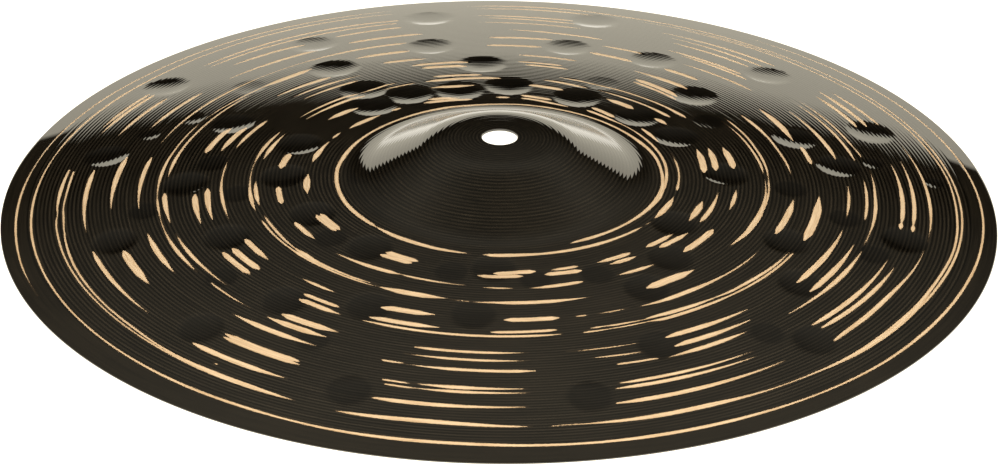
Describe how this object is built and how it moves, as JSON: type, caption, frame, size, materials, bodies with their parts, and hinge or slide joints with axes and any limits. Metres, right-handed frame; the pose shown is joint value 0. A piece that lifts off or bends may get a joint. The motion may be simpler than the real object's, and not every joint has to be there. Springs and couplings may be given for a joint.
{
  "type": "crash cymbal",
  "caption": "Thin round bronze plate with a shallow bow, a domed bell and a centre hole, struck at its edge with a stick.",
  "frame": {"origin": "centre of the plane that the rim rests on", "axes": "+Z along the cymbal's axis, from the open underside towards the bell"},
  "size_m": [0.3556, 0.3556, 0.033],
  "materials": {
    "darkened_bronze": "glossy dark patina under lacquer, with arcs scraped back to bare golden bronze"
  },
  "bodies": {
    "root": {"cymbal": "darkened_bronze"}
  },
  "joints": []
}
